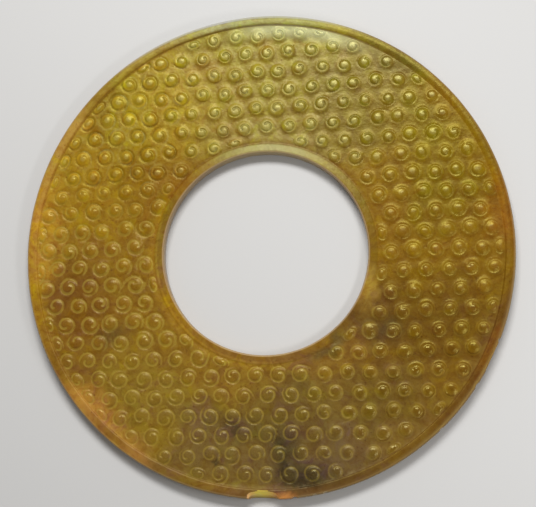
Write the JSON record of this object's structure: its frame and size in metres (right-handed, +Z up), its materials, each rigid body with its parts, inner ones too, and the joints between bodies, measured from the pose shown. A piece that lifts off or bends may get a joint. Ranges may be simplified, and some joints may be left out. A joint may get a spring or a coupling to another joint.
{
  "type": "jade bi disc",
  "caption": "Flat ring of olive-gold jade with raised rims, rows of raised spiral grains on its face and a chip in its edge.",
  "frame": {"origin": "centre of the disc on the surface it lies on", "axes": "+Z up through the disc, +X along the rows of grains, the chipped edge at -Y"},
  "size_m": [0.14, 0.1398, 0.0045],
  "materials": {
    "jade": "polished translucent nephrite, olive-gold with russet and mauve-brown veils"
  },
  "bodies": {
    "root": {"jade_disc": "jade"}
  },
  "joints": []
}
